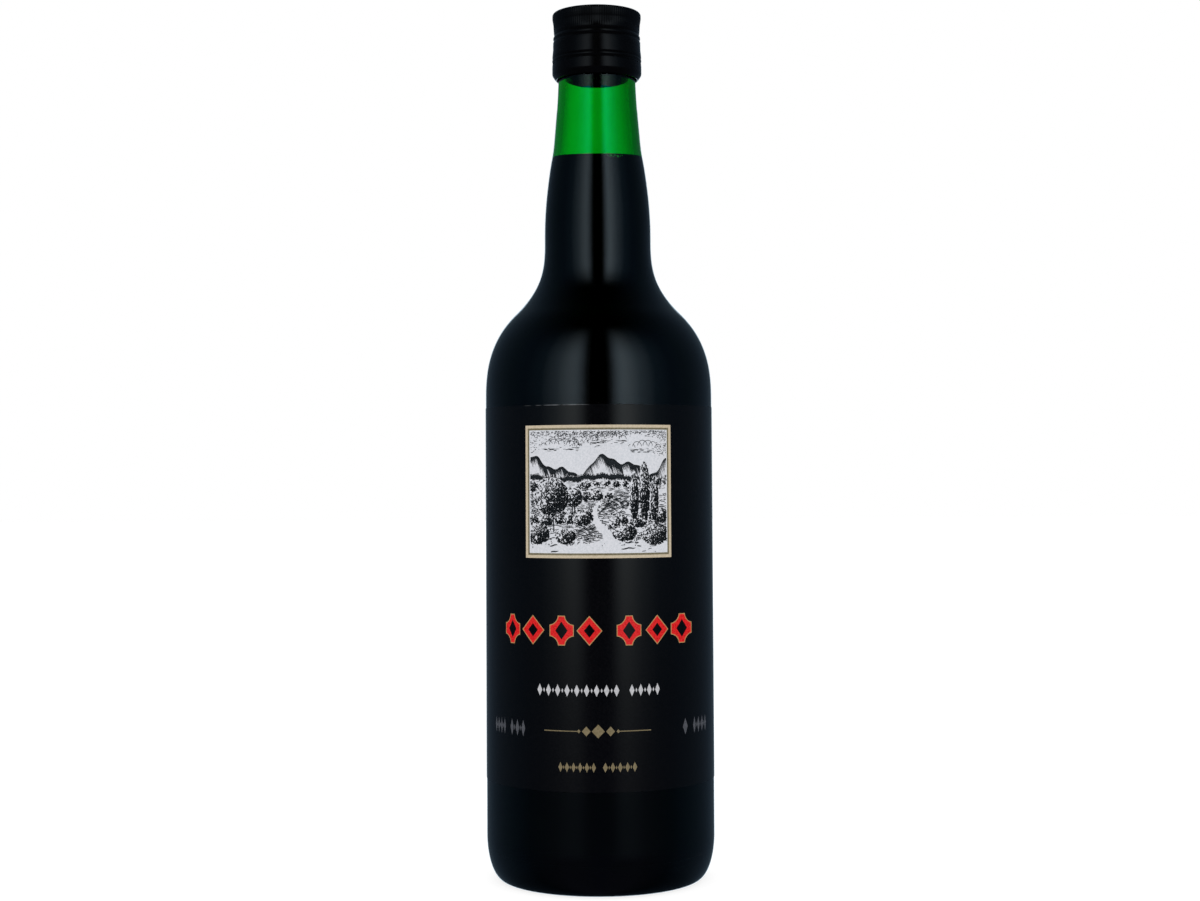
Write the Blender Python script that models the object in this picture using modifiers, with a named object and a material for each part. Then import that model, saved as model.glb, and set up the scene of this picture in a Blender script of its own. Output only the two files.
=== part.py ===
"""A 75 cl wine bottle of dark green glass, filled and shut by a screw cap, with a label all round.

Units are metres and +Z is up. The origin is the centre of the base, on the plane that the
bottle stands on. The pieces are turned shapes: each is a profile, drawn in the plane Y = 0
on the +X side, that a Screw modifier carries once round the Z axis.
"""

import math

import bpy

MM = 0.001

# Round shapes: every piece has the same sides, so that their gaps stay even
SIDES = 48
GAP = 0.3 * MM

# Body, heel and base
BODY_RADIUS = 39.0 * MM
BODY_TOP_RADIUS = 38.8 * MM
BODY_TOP = 164.0 * MM
HEEL_INSET = 5.8 * MM
HEEL_HEIGHT = 15.3 * MM
STANDING_RING_WIDTH = 4.2 * MM
PUNT_DEPTH = 5.0 * MM
BASE_THICKNESS = 4.5 * MM
BODY_WALL = 3.0 * MM

# Shoulder and neck: height, radius and the radius's change with height, from the body's top up
SHOULDER_AND_NECK = (
    (BODY_TOP, BODY_TOP_RADIUS, 0.0),
    (180.0 * MM, 36.6 * MM, -0.35),
    (193.0 * MM, 28.25 * MM, -1.03),
    (203.0 * MM, 20.8 * MM, -0.48),
    (219.5 * MM, 18.2 * MM, 0.0),
    (236.0 * MM, 17.2 * MM, -0.12),
    (247.0 * MM, 15.55 * MM, -0.20),
    (257.0 * MM, 14.4 * MM, -0.09),
    (271.0 * MM, 13.4 * MM, -0.04),
)
POINTS_PER_SPAN = 3
NECK_WALL = 3.6 * MM

# Finish: the mouth, its threaded wall, left plain under the cap, and the ring that holds the cap
BORE_RADIUS = 9.6 * MM
LIP_ROUND = 1.0 * MM
THREAD_WALL_RADIUS = 13.9 * MM
RING_RADIUS = 14.55 * MM
RING_TOP = 279.6 * MM
RING_BOTTOM = 276.6 * MM
RING_FOOT = 274.5 * MM
RING_FOOT_RADIUS = 13.25 * MM

# Screw cap with its unbroken band: outer side from the top down, as height and radius
CAP_TOP = 297.0 * MM
CAP_ROUND = 0.8 * MM
CAP_WALL = 0.5 * MM
CAP_SIDE = (
    (294.9 * MM, 15.25 * MM),
    (293.4 * MM, 14.95 * MM),
    (290.0 * MM, 14.75 * MM),
    (286.8 * MM, 15.1 * MM),
    (284.6 * MM, 15.1 * MM),
    (282.0 * MM, 15.4 * MM),
    (276.6 * MM, 15.4 * MM),
    (273.9 * MM, 14.1 * MM),
)

# Wine and label
WINE_LEVEL = 247.3 * MM
LABEL_BOTTOM = 34.8 * MM
LABEL_TOP = 160.7 * MM
LABEL_THICKNESS = 0.25 * MM


def arc(centre, radii, start, end, steps):
    """Points (radius, height) on an ellipse's arc; angles in degrees, from +X towards +Z."""
    angles = [math.radians(start + (end - start) * i / steps) for i in range(steps + 1)]
    return [(centre[0] + radii[0] * math.cos(a), centre[1] + radii[1] * math.sin(a)) for a in angles]


def smooth_curve(stations, steps):
    """Points (radius, height) of the cubic through stations of height, radius and slope."""
    points = []
    for (z0, r0, s0), (z1, r1, s1) in zip(stations, stations[1:]):
        span = z1 - z0
        for i in range(steps):
            t = i / steps
            from_ends = (2 * t**3 - 3 * t**2 + 1) * r0 + (3 * t**2 - 2 * t**3) * r1
            from_slopes = span * ((t**3 - 2 * t**2 + t) * s0 + (t**3 - t**2) * s1)
            points.append((from_ends + from_slopes, z0 + span * t))
    last_height, last_radius, _ = stations[-1]
    return points + [(last_radius, last_height)]


def offset_inwards(points, distances):
    """The outline moved to its inner side, each point along its own normal by its distance."""
    moved = []
    for i, ((r, z), distance) in enumerate(zip(points, distances)):
        before = points[max(i - 1, 0)]
        after = points[min(i + 1, len(points) - 1)]
        dr, dz = after[0] - before[0], after[1] - before[1]
        length = math.hypot(dr, dz)
        moved.append((r - distance * dz / length, z + distance * dr / length))
    return moved


def outer_wall():
    """The glass's outer side, from the heel's top up to the neck's top."""
    return [(BODY_RADIUS, HEEL_HEIGHT)] + smooth_curve(SHOULDER_AND_NECK, POINTS_PER_SPAN)


def inner_wall(extra=0.0):
    """The glass's inner side from its floor's centre up to the neck's top, moved in by extra."""
    outer = outer_wall()
    low, high = BODY_TOP, SHOULDER_AND_NECK[4][0]
    walls = []
    for _, z in outer:
        neck_share = min(max((z - low) / (high - low), 0.0), 1.0)
        walls.append(BODY_WALL + (NECK_WALL - BODY_WALL) * neck_share + extra)
    side = offset_inwards(outer, walls)
    side_radius, side_foot = side[0]
    floor_height = PUNT_DEPTH + BASE_THICKNESS + extra
    corner_radius = side_foot - floor_height
    corner = arc((side_radius - corner_radius, side_foot), (corner_radius, corner_radius), 270, 360, 5)
    return [(0.0, floor_height)] + corner[:-1] + side


def finish_wall():
    """The finish's outer side from the lip's round down to the neck."""
    mouth = CAP_TOP - CAP_WALL - GAP
    lip = arc((THREAD_WALL_RADIUS - LIP_ROUND, mouth - LIP_ROUND), (LIP_ROUND, LIP_ROUND), 90, 0, 3)
    ring_slope = RING_RADIUS - THREAD_WALL_RADIUS
    ring = [
        (THREAD_WALL_RADIUS, RING_TOP + ring_slope),
        (RING_RADIUS, RING_TOP),
        (RING_RADIUS, RING_BOTTOM),
        (RING_FOOT_RADIUS, RING_FOOT),
    ]
    return lip + ring


def base():
    """The underside from the heel's top round to the punt's centre."""
    ring_outer = BODY_RADIUS - HEEL_INSET
    ring_inner = ring_outer - STANDING_RING_WIDTH
    heel = arc((ring_outer, HEEL_HEIGHT), (HEEL_INSET, HEEL_HEIGHT), 0, -90, 7)
    punt = arc((0.0, 0.0), (ring_inner, PUNT_DEPTH), 0, 90, 5)
    return heel + punt


def glass_profile():
    """The bottle's section, up its inner side, over the mouth and down its outer side."""
    mouth = CAP_TOP - CAP_WALL - GAP
    bore = [(BORE_RADIUS, RING_FOOT), (BORE_RADIUS, mouth - LIP_ROUND)]
    bore_round = arc((BORE_RADIUS + LIP_ROUND, mouth - LIP_ROUND), (LIP_ROUND, LIP_ROUND), 150, 90, 2)
    neck_down = outer_wall()[:0:-1]
    return inner_wall() + bore + bore_round + finish_wall() + neck_down + base()


def wine_profile():
    """The wine's section, from its level's centre out and down beside the inner wall."""
    side = [(r, z) for r, z in inner_wall(extra=GAP)]
    below = [point for point in side if point[1] < WINE_LEVEL]
    (r0, z0), (r1, z1) = below[-1], side[len(below)]
    edge = r0 + (r1 - r0) * (WINE_LEVEL - z0) / (z1 - z0)
    return [(0.0, WINE_LEVEL), (edge, WINE_LEVEL)] + below[::-1]


def cap_profile():
    """The cap's section, from its top's centre down its outer side and back inside."""
    top_radius = CAP_SIDE[0][1]
    corner = arc((top_radius - CAP_ROUND, CAP_TOP - CAP_ROUND), (CAP_ROUND, CAP_ROUND), 90, 0, 3)
    outer = corner + [(r, z) for z, r in CAP_SIDE]
    inner = [(r - CAP_WALL, z) for z, r in CAP_SIDE]
    ceiling = CAP_TOP - CAP_WALL
    inner_corner = (top_radius - CAP_WALL, ceiling)
    return [(0.0, CAP_TOP)] + outer + inner[::-1] + [inner_corner, (0.0, ceiling)]


def label_profile():
    """The label's section: a thin band that keeps a gap to the glass all the way up."""
    def glass_radius(z):
        share = (z - HEEL_HEIGHT) / (BODY_TOP - HEEL_HEIGHT)
        return BODY_RADIUS + (BODY_TOP_RADIUS - BODY_RADIUS) * share

    inner = [(glass_radius(z) + GAP, z) for z in (LABEL_BOTTOM, LABEL_TOP)]
    outer = [(r + LABEL_THICKNESS, z) for r, z in reversed(inner)]
    return outer + inner


def make_material(name, colour, roughness, metallic=0.0):
    """A Principled material with the piece's colour, roughness and metallic value."""
    material = bpy.data.materials.new(name)
    material.use_nodes = True
    shader = material.node_tree.nodes["Principled BSDF"]
    shader.inputs["Base Color"].default_value = (*colour, 1.0)
    shader.inputs["Roughness"].default_value = roughness
    shader.inputs["Metallic"].default_value = metallic
    material.diffuse_color = (*colour, 1.0)
    return material


def turn(name, profile, material, collection, closed=False):
    """A turned solid: the profile's line, carried once round the Z axis."""
    points = [(r, 0.0, z) for r, z in profile]
    edges = [(i, i + 1) for i in range(len(points) - 1)]
    if closed:
        edges.append((len(points) - 1, 0))
    mesh = bpy.data.meshes.new(name)
    mesh.from_pydata(points, edges, [])
    mesh.materials.append(material)
    piece = bpy.data.objects.new(name, mesh)
    collection.objects.link(piece)
    screw = piece.modifiers.new("Turn", "SCREW")
    screw.steps = SIDES
    screw.render_steps = SIDES
    screw.use_merge_vertices = True
    screw.merge_threshold = 0.00001
    screw.use_smooth_shade = True
    return piece


def clear_scene():
    for thing in list(bpy.data.objects):
        bpy.data.objects.remove(thing, do_unlink=True)


def main():
    clear_scene()
    bottle = bpy.data.collections.new("wine_bottle")
    bpy.context.scene.collection.children.link(bottle)

    glass = make_material("green_glass", (0.02, 0.16, 0.05), 0.05)
    wine = make_material("red_wine", (0.05, 0.004, 0.01), 0.1)
    cap = make_material("black_aluminium", (0.006, 0.006, 0.007), 0.3, metallic=0.4)
    paper = make_material("black_paper", (0.012, 0.012, 0.014), 0.45)

    turn("glass_bottle", glass_profile(), glass, bottle)
    turn("wine", wine_profile(), wine, bottle)
    turn("screw_cap", cap_profile(), cap, bottle)
    turn("label", label_profile(), paper, bottle, closed=True)


main()
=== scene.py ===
"""The looks of a filled 75 cl wine bottle: green glass, dark wine, black screw cap, black label.

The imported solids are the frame. Each of them is replaced by a piece with the true surface.
"""

import math
import random

import bpy
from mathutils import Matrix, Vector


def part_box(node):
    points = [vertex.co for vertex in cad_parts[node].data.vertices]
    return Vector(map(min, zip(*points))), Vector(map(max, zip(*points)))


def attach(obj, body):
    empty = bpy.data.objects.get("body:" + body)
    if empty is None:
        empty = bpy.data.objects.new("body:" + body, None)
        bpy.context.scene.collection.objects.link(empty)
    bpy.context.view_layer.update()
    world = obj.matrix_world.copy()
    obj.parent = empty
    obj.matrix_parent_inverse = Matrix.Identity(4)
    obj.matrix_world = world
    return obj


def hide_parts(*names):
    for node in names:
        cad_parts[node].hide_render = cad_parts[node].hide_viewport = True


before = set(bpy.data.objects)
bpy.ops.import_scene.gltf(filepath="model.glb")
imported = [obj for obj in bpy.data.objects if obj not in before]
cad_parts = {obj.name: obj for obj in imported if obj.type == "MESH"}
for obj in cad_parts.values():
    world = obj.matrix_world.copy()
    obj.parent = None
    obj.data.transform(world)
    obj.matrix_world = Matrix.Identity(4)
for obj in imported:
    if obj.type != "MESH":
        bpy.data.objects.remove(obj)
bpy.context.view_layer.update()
bpy.ops.object.select_all(action="DESELECT")
mm = 0.001


# Glass bottle: one hollow piece of green soda-lime glass, blown in a mould of two halves, whose
# joint leaves a faint seam down each side. It stands on a ring round a shallow hollow. The wall
# is smooth outside and slightly wavy inside, where no mould touches it.
glass_sides = 256
body_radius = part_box("glass_bottle")[1].x
mouth_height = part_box("glass_bottle")[1].z
body_top = 164.0 * mm
body_top_radius = 38.8 * mm
heel_inset = 5.8 * mm
heel_height = 15.3 * mm
standing_ring_width = 4.2 * mm
punt_depth = 5.0 * mm
base_thickness = 4.5 * mm
body_wall = 3.0 * mm
neck_wall = 2.5 * mm
neck_foot = 219.5 * mm
neck_top = 271.0 * mm
shoulder_and_neck = (
    (body_top, body_top_radius, 0.0),
    (180.0 * mm, 36.6 * mm, -0.35),
    (193.0 * mm, 28.25 * mm, -1.03),
    (203.0 * mm, 20.8 * mm, -0.48),
    (neck_foot, 18.2 * mm, 0.0),
    (236.0 * mm, 17.2 * mm, -0.12),
    (247.0 * mm, 15.55 * mm, -0.20),
    (257.0 * mm, 14.4 * mm, -0.09),
    (neck_top, 13.4 * mm, -0.04),
)
bore_radius = 10.9 * mm
lip_round = 1.0 * mm
thread_wall_radius = 13.9 * mm
ring_outline = (
    (13.27, 274.25), (13.26, 274.45), (13.5, 274.9), (14.55, 276.6), (14.55, 279.6), (13.9, 280.25),
)
body_rings = 12
floor_rings = 8
seam_height = 0.07 * mm
seam_foot = 0.5 * mm
seam_top = body_top + 100 * mm
wave_height = 0.16 * mm
wave_size = 22.0 * mm
over_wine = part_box("wine")[1].z - 1.0 * mm
under_cap = 269.0 * mm


def arc(centre, radii, start, end, steps):
    """Points (radius, height) on an ellipse's arc; angles in degrees, from outwards to upwards."""
    angles = [math.radians(start + (end - start) * i / steps) for i in range(steps + 1)]
    (r, z), (wide, high) = centre, radii
    return [(r + wide * math.cos(a), z + high * math.sin(a)) for a in angles]


def smooth_curve(stations, steps):
    """Points (radius, height) of the cubic through stations of height, radius and slope."""
    points = []
    for (z0, r0, s0), (z1, r1, s1) in zip(stations, stations[1:]):
        span = z1 - z0
        for i in range(steps):
            t = i / steps
            from_ends = (2 * t**3 - 3 * t**2 + 1) * r0 + (3 * t**2 - 2 * t**3) * r1
            from_slopes = span * ((t**3 - 2 * t**2 + t) * s0 + (t**3 - t**2) * s1)
            points.append((from_ends + from_slopes, z0 + span * t))
    return points + [(stations[-1][1], stations[-1][0])]


def inner_side(points, extra=0.0):
    """The wall's inner side for points on its outer side, moved in by extra where asked."""
    moved = []
    for i, (r, z) in enumerate(points):
        before, after = points[max(i - 1, 0)], points[min(i + 1, len(points) - 1)]
        dr, dz = after[0] - before[0], after[1] - before[1]
        share = min(max((z - body_top) / (neck_foot - body_top), 0.0), 1.0)
        wall = (body_wall + (neck_wall - body_wall) * share + extra) / math.hypot(dr, dz)
        moved.append((r - wall * dz, z + wall * dr))
    return moved


def points_between(start, end, steps):
    """Evenly spaced points from start on, with the last one a step before end."""
    (r0, z0), (r1, z1) = start, end
    return [(r0 + (r1 - r0) * i / steps, z0 + (z1 - z0) * i / steps) for i in range(steps)]


def select_only(*pieces):
    """Selects these pieces alone, with the first as the active one."""
    bpy.ops.object.select_all(action="DESELECT")
    for piece in pieces:
        piece.select_set(True)
    bpy.context.view_layer.objects.active = pieces[0]


def edit(kind, chosen="SELECT"):
    """Opens the active piece in edit mode, with all of it selected or with nothing."""
    bpy.ops.object.mode_set(mode="EDIT")
    bpy.ops.mesh.select_mode(type=kind)
    bpy.ops.mesh.select_all(action=chosen)


def leave_edit():
    bpy.ops.object.mode_set(mode="OBJECT")


def named(piece, name):
    piece.name = name
    piece.data.name = name
    return piece


def new_piece(name):
    """Names the piece just drawn, with its place, turn and size in its mesh."""
    bpy.ops.object.transform_apply(location=True, rotation=True, scale=True)
    return named(bpy.context.object, name)


def turned(name, outline, sides, smooth_angle):
    """A turned piece: a round face on the axis, whose rim is extruded along an outline of radius
    and height up to a last ring, which is drawn together on the axis."""
    radius, height = outline[0]
    bpy.ops.object.select_all(action="DESELECT")
    bpy.ops.mesh.primitive_circle_add(
        vertices=sides, radius=radius, fill_type="TRIFAN", location=(0, 0, height)
    )
    piece = new_piece(name)
    edit("EDGE")
    bpy.ops.mesh.region_to_loop()
    for next_radius, next_height in outline[1:]:
        rise = (0, 0, next_height - height)
        bpy.ops.mesh.extrude_edges_move(TRANSFORM_OT_translate={"value": rise})
        grow = next_radius / radius
        bpy.ops.transform.resize(value=(grow, grow, 1), center_override=(0, 0, next_height))
        radius, height = next_radius, next_height
    bpy.ops.mesh.merge(type="CENTER")
    bpy.ops.mesh.select_all(action="SELECT")
    bpy.ops.mesh.remove_doubles(threshold=0.001 * mm)
    bpy.ops.mesh.normals_make_consistent(inside=False)
    bpy.ops.mesh.select_all(action="DESELECT")
    leave_edit()
    bpy.ops.object.shade_smooth_by_angle(angle=math.radians(smooth_angle))
    return piece


def apply_modifiers(piece):
    select_only(piece)
    for modifier in list(piece.modifiers):
        bpy.ops.object.modifier_apply(modifier=modifier.name)


def start_material(name):
    """A new material, with its node tree and its shader."""
    material = bpy.data.materials.new(name)
    material.use_nodes = True
    return material, material.node_tree, material.node_tree.nodes["Principled BSDF"]


def fill(node, inputs):
    """Fills a node's inputs, each with a value or from another node's output."""
    for name, value in inputs.items():
        if isinstance(value, bpy.types.NodeSocket):
            node.id_data.links.new(value, node.inputs[name])
        else:
            node.inputs[name].default_value = value


def place_on_piece(tree):
    """Where a point lies on the piece."""
    return tree.nodes.new("ShaderNodeTexCoord").outputs["Object"]


def height_on_piece(tree):
    axes = tree.nodes.new("ShaderNodeSeparateXYZ")
    fill(axes, {"Vector": place_on_piece(tree)})
    return axes.outputs["Z"]


def noise(tree, scale, detail=2.0, roughness=0.5):
    """An uneven pattern on the piece, from 0 to 1."""
    node = tree.nodes.new("ShaderNodeTexNoise")
    fill(node, {
        "Vector": place_on_piece(tree), "Scale": scale, "Detail": detail, "Roughness": roughness,
    })
    return node.outputs["Fac"]


def spread(tree, value, low, high, to_low=0.0, to_high=1.0):
    """Carries a value's range, from low to high, over to another range."""
    node = tree.nodes.new("ShaderNodeMapRange")
    fill(node, {
        "Value": value, "From Min": low, "From Max": high, "To Min": to_low, "To Max": to_high,
    })
    return node.outputs["Result"]


def colours_over(tree, value, low, high, stops):
    """Colours over a value's range, from stops of the value and a colour."""
    node = tree.nodes.new("ShaderNodeValToRGB")
    fill(node, {"Fac": spread(tree, value, low, high)})
    elements = node.color_ramp.elements
    while len(elements) < len(stops):
        elements.new(0.5)
    for element, (place, colour) in zip(elements, stops):
        element.position = (place - low) / (high - low)
        element.color = (*colour, 1.0)
    return node.outputs["Color"]


ring_outer = body_radius - heel_inset
ring_inner = ring_outer - standing_ring_width
punt = arc((0, 0), (ring_inner, punt_depth), 88, 0, 14)
heel = arc((ring_outer, heel_height), (heel_inset, heel_height), -90, 0, 20)
straight = points_between((body_radius, heel_height), (body_top_radius, body_top), body_rings)
outer_wall = [heel[-1]] + straight[1:] + smooth_curve(shoulder_and_neck, 10)
ring = [(r * mm, z * mm) for r, z in ring_outline]
lip_centre = (thread_wall_radius - lip_round, mouth_height - lip_round)
lip = arc(lip_centre, (lip_round, lip_round), 0, 90, 6)
bore_centre = (bore_radius + lip_round, mouth_height - lip_round)
bore_round = arc(bore_centre, (lip_round, lip_round), 90, 180, 6)
inner_wall = inner_side(outer_wall)
wall_foot_radius, wall_foot = inner_wall[0]
floor_height = punt_depth + base_thickness
corner_radius = wall_foot - floor_height
corner_centre = (wall_foot_radius - corner_radius, wall_foot)
floor_corner = arc(corner_centre, (corner_radius, corner_radius), 0, -90, 10)
floor_radius = floor_corner[-1][0]
floor = [(floor_radius * (1 - i / floor_rings), floor_height) for i in range(1, floor_rings)]

outside = punt + heel + outer_wall[1:] + ring + lip + bore_round
inside = [(bore_radius, ring[0][1])] + inner_wall[::-1] + floor_corner[1:] + floor
glass = turned("glass_bottle_glass", outside + inside, glass_sides, 40)
unmoulded = glass.vertex_groups.new(name="unmoulded")
for vertex in glass.data.vertices:
    x, y, z = vertex.co
    wall_here = min(outer_wall, key=lambda point: abs(point[1] - z))[0]
    on_joint = abs(y) < 0.01 * mm and seam_foot < z < seam_top
    if on_joint and abs(abs(x) - wall_here) < 1.0 * mm:
        vertex.co.x += math.copysign(seam_height, x)
    over_floor = floor_height - 0.1 * mm < z < neck_top
    if over_floor and math.hypot(x, y) < wall_here - 1.5 * mm:
        unmoulded.add([vertex.index], 1.0, "REPLACE")
waves = bpy.data.textures.new("wall_waves", "CLOUDS")
waves.noise_scale = wave_size
ripple = glass.modifiers.new("Ripple", "DISPLACE")
ripple.texture = waves
ripple.texture_coords = "LOCAL"
ripple.vertex_group = "unmoulded"
ripple.strength = wave_height
ripple.mid_level = 0.5
apply_modifiers(glass)

# Painted reflection colour: set by height, not by the glass itself, the reflections lose their red
# over the empty part of the neck and turn grey-green under the cap, standing in for the green light
# seen there.
green_glass, tree, shader = start_material("green_glass")
painted_reflection_tint = colours_over(tree, height_on_piece(tree), 0.0, mouth_height, (
    (0.0, (1.0, 1.0, 1.0)), (over_wine, (0.04, 1.0, 1.0)), (under_cap, (0.76, 0.80, 0.74)),
))
painted_reflection_tint.node.color_ramp.interpolation = "CONSTANT"
fill(shader, {
    "Base Color": (1.0, 1.0, 1.0, 1.0),
    "Transmission Weight": 1.0,
    "IOR": 1.52,
    "Specular Tint": painted_reflection_tint,
    "Roughness": spread(tree, noise(tree, 45.0, 3.0), 0.45, 0.75, 0.0, 0.05),
})
absorption = tree.nodes.new("ShaderNodeVolumeAbsorption")
fill(absorption, {"Color": (0.005, 0.832, 0.345, 1.0), "Density": 1526.0})
fill(tree.nodes["Material Output"], {"Volume": absorption.outputs["Volume"]})
glass.data.materials.append(green_glass)
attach(glass, "root")
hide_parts("glass_bottle")


# Wine: the drink fills the bottle up to a level in the neck, and climbs the wall a little at its
# edge, where a few bubbles hang. It reaches just into the wall, so that no air shows between.
meniscus_climb = 1.1 * mm
meniscus_width = 2.2 * mm
meniscus_rings = 8
least_wetted = 0.1
wetted_at_sides = 0.65
wine_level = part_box("wine")[1].z - meniscus_climb
into_wall = 0.25 * mm
axis_ring_radius = 2 * mm
neck_slope = 0.2
bubble_gap = 0.02
bubble_lift = 0.5
bubble_places = (
    (4.3, 1.05, 0.50), (6.5, 1.15, 0.58), (3.5, 0.95, 0.24), (5.1, 1.25, 0.28), (5.6, 0.9, 0.34),
    (7.3, 1.0, 0.30), (7.9, 0.8, 0.22),
)
bubble_squash = (1, 0.6, 0.8)


def copy_of(piece):
    """A copy of a piece with its own mesh, as the active piece."""
    select_only(piece)
    bpy.ops.object.duplicate()
    return bpy.context.object


def delete(*pieces):
    select_only(*pieces)
    bpy.ops.object.delete()


def joined(pieces, name):
    """Joins pieces of one material into one."""
    select_only(*pieces)
    bpy.ops.object.join()
    return named(pieces[0], name)


def mixed(tree, factor, colour, other):
    """A colour between two, nearer to the other one as the factor goes from 0 to 1."""
    node = tree.nodes.new("ShaderNodeMix")
    node.data_type = "RGBA"
    fill(node, {"Factor": factor, "A": colour, "B": other})
    return node.outputs["Result"]


inside_wall = inner_side(outer_wall, -into_wall)
wine_side = [point for point in inside_wall if point[1] < wine_level - 0.5 * mm]
near_level = [point for point in inside_wall if abs(point[1] - wine_level) < 3 * mm]
(r0, z0), (r1, z1) = near_level[:2]
edge_radius = r0 + (r1 - r0) * ((wine_level + meniscus_climb - z0) / (z1 - z0))
wine_floor = floor_height - into_wall
side_radius, side_foot = wine_side[0]
wine_corner = arc(
    (side_radius - corner_radius, side_foot), (corner_radius, side_foot - wine_floor), -90, 0, 10
)
climb = []
for i in range(meniscus_rings + 1):
    up = i / meniscus_rings
    climb.append((edge_radius - meniscus_width * (1 - up), wine_level + meniscus_climb * up**2.2))

wine_outline = [(axis_ring_radius, wine_floor)] + wine_corner + wine_side[1:] + climb[::-1]
wine_outline.append((axis_ring_radius, wine_level))
wine = turned("wine_drink", wine_outline, glass_sides, 50)
for vertex in wine.data.vertices:
    x, y, z = vertex.co
    if z > wine_level:
        wetted = least_wetted + wetted_at_sides * x * x / (x * x + y * y)
        vertex.co.z = wine_level + (z - wine_level) * wetted

red_wine, tree, shader = start_material("red_wine")
depth = mixed(tree, noise(tree, 25.0), (0.004, 0.0004, 0.0006, 1.0), (0.010, 0.0008, 0.0012, 1.0))
fill(shader, {"Base Color": depth, "Roughness": 0.05, "IOR": 1.05})
wine.data.materials.append(red_wine)
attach(wine, "root")
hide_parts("wine")

bpy.ops.object.select_all(action="DESELECT")
bpy.ops.mesh.primitive_uv_sphere_add(segments=14, ring_count=8, radius=1)
bubble = bpy.context.object
edit("VERT")
bpy.ops.transform.resize(value=bubble_squash, center_override=(0, 0, 0))
leave_edit()
bpy.ops.object.shade_smooth()
froth = []
for across, below, size in bubble_places:
    drop = copy_of(bubble)
    drop.scale = (size * mm, size * mm, size * mm)
    wall_here = edge_radius + (neck_slope * below + bubble_gap) * mm
    reach = math.sqrt(wall_here**2 - (across * mm) ** 2)
    drop.location = (across * mm, -reach, wine_level - (below - bubble_lift) * mm)
    froth.append(new_piece("wine_bubbles"))
delete(bubble)
froth = joined(froth, "wine_bubbles")

bubble_skin, tree, shader = start_material("bubble_skin")
skin = mixed(tree, noise(tree, 900.0), (0.40, 0.46, 0.43, 1.0), (0.90, 0.96, 0.92, 1.0))
fill(shader, {"Base Color": skin, "Roughness": 0.12, "IOR": 1.2})
froth.data.materials.append(bubble_skin)
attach(froth, "root")


# Screw cap: black lacquered aluminium, drawn as a cup and rolled on to the glass. Its top edge
# is knurled for grip. Two beads run round it, the lower one over a row of slits with bridges,
# along which the band breaks off, and its lower edge is tucked in under the ring of the glass.
cap_sides = 480
cap_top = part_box("screw_cap")[1].z
cap_wall = 0.24 * mm
cap_edge_round = 0.9 * mm
cap_dish_depth = 0.1 * mm
cap_dish_radii = (4 * mm, 12.4 * mm)
cap_flat_radius = 12.6 * mm
cap_ceiling_radii = (14.6 * mm, 6 * mm)
cap_smooth_angle = 38
knurl_count = 120
knurl_depth = 0.10 * mm
knurl_top = 296.2 * mm
knurl_foot = 291.3 * mm
knurl_rings = 4
groove_columns = 2
knurled_from = 14.7 * mm
bridge_count = 16
bridge_columns = 4
slit_depth = 0.2 * mm
slit_rows = (279.05 * mm, 279.5 * mm)
slit_from = 15.2 * mm
cap_side = (
    (15.26, 296.1), (15.27, 295.2), (15.1, 294.0), (14.95, 293.2), (14.85, 291.4), (14.80, 290.4),
    (14.72, 289.7), (14.55, 289.35), (14.74, 289.0), (15.0, 288.5), (15.02, 288.1), (14.85, 287.75),
    (14.72, 287.5), (14.9, 287.2), (15.08, 286.8), (15.1, 285.0), (15.1, 284.3), (15.25, 283.0),
    (15.35, 281.8), (15.32, 281.4), (15.12, 281.15), (15.3, 280.9), (15.42, 280.5), (15.3, 280.1),
    (15.12, 279.85), (15.3, 279.5), (15.34, 279.05), (15.4, 278.7), (15.4, 277.6), (15.4, 276.4),
    (15.38, 276.0), (15.31, 275.65), (15.16, 275.35), (14.9, 274.95), (14.5, 274.4), (14.1, 273.95),
)

cap_outline = [(r * mm, z * mm) for r, z in cap_side]
edge_centre = (cap_outline[0][0] - cap_edge_round, cap_top - cap_edge_round)
cap_edge = arc(edge_centre, (cap_edge_round, cap_edge_round), 90, 12, 6)
knurled = []
for start, end in zip(cap_outline[:knurl_rings], cap_outline[1:]):
    knurled += points_between(start, end, 3)
dish_height = cap_top - cap_dish_depth
cap_dish = [(radius, dish_height) for radius in cap_dish_radii] + [(cap_flat_radius, cap_top)]
cap_outside = cap_dish + cap_edge + knurled + cap_outline[knurl_rings:]
cap_inside = [(r - cap_wall, z) for r, z in cap_outline[:-1]][::-1]
foot_radius, foot_height = cap_outline[-1]
cap_return = [(foot_radius - cap_wall, foot_height + 0.05 * mm)] + cap_inside
cap_return += [(radius, cap_top - cap_wall - cap_dish_depth) for radius in cap_ceiling_radii]

cap = turned("screw_cap_metal", cap_outside + cap_return, cap_sides, cap_smooth_angle)


def edit_where(kind, chosen):
    """Opens the active piece in edit mode, with the vertices or faces selected that are chosen."""
    edit(kind, "DESELECT")
    leave_edit()
    mesh = bpy.context.object.data
    if kind == "VERT":
        for vertex in mesh.vertices:
            vertex.select = chosen(*vertex.co)
    else:
        for face in mesh.polygons:
            face.select = chosen(*face.center)
    bpy.ops.object.mode_set(mode="EDIT")


def cap_column(x, y):
    """The place's column among the cap's sides, counted from +X."""
    return math.atan2(y, x) / math.tau * cap_sides


def in_knurl_groove(x, y, z):
    on_side = math.hypot(x, y) > knurled_from and knurl_foot < z < knurl_top
    return on_side and round(cap_column(x, y)) % (cap_sides // knurl_count) < groove_columns


def in_slit(x, y, z):
    column = math.floor(cap_column(x, y)) % (cap_sides // bridge_count)
    in_row = slit_rows[0] < z < slit_rows[1] and math.hypot(x, y) > slit_from
    return in_row and column >= bridge_columns


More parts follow.
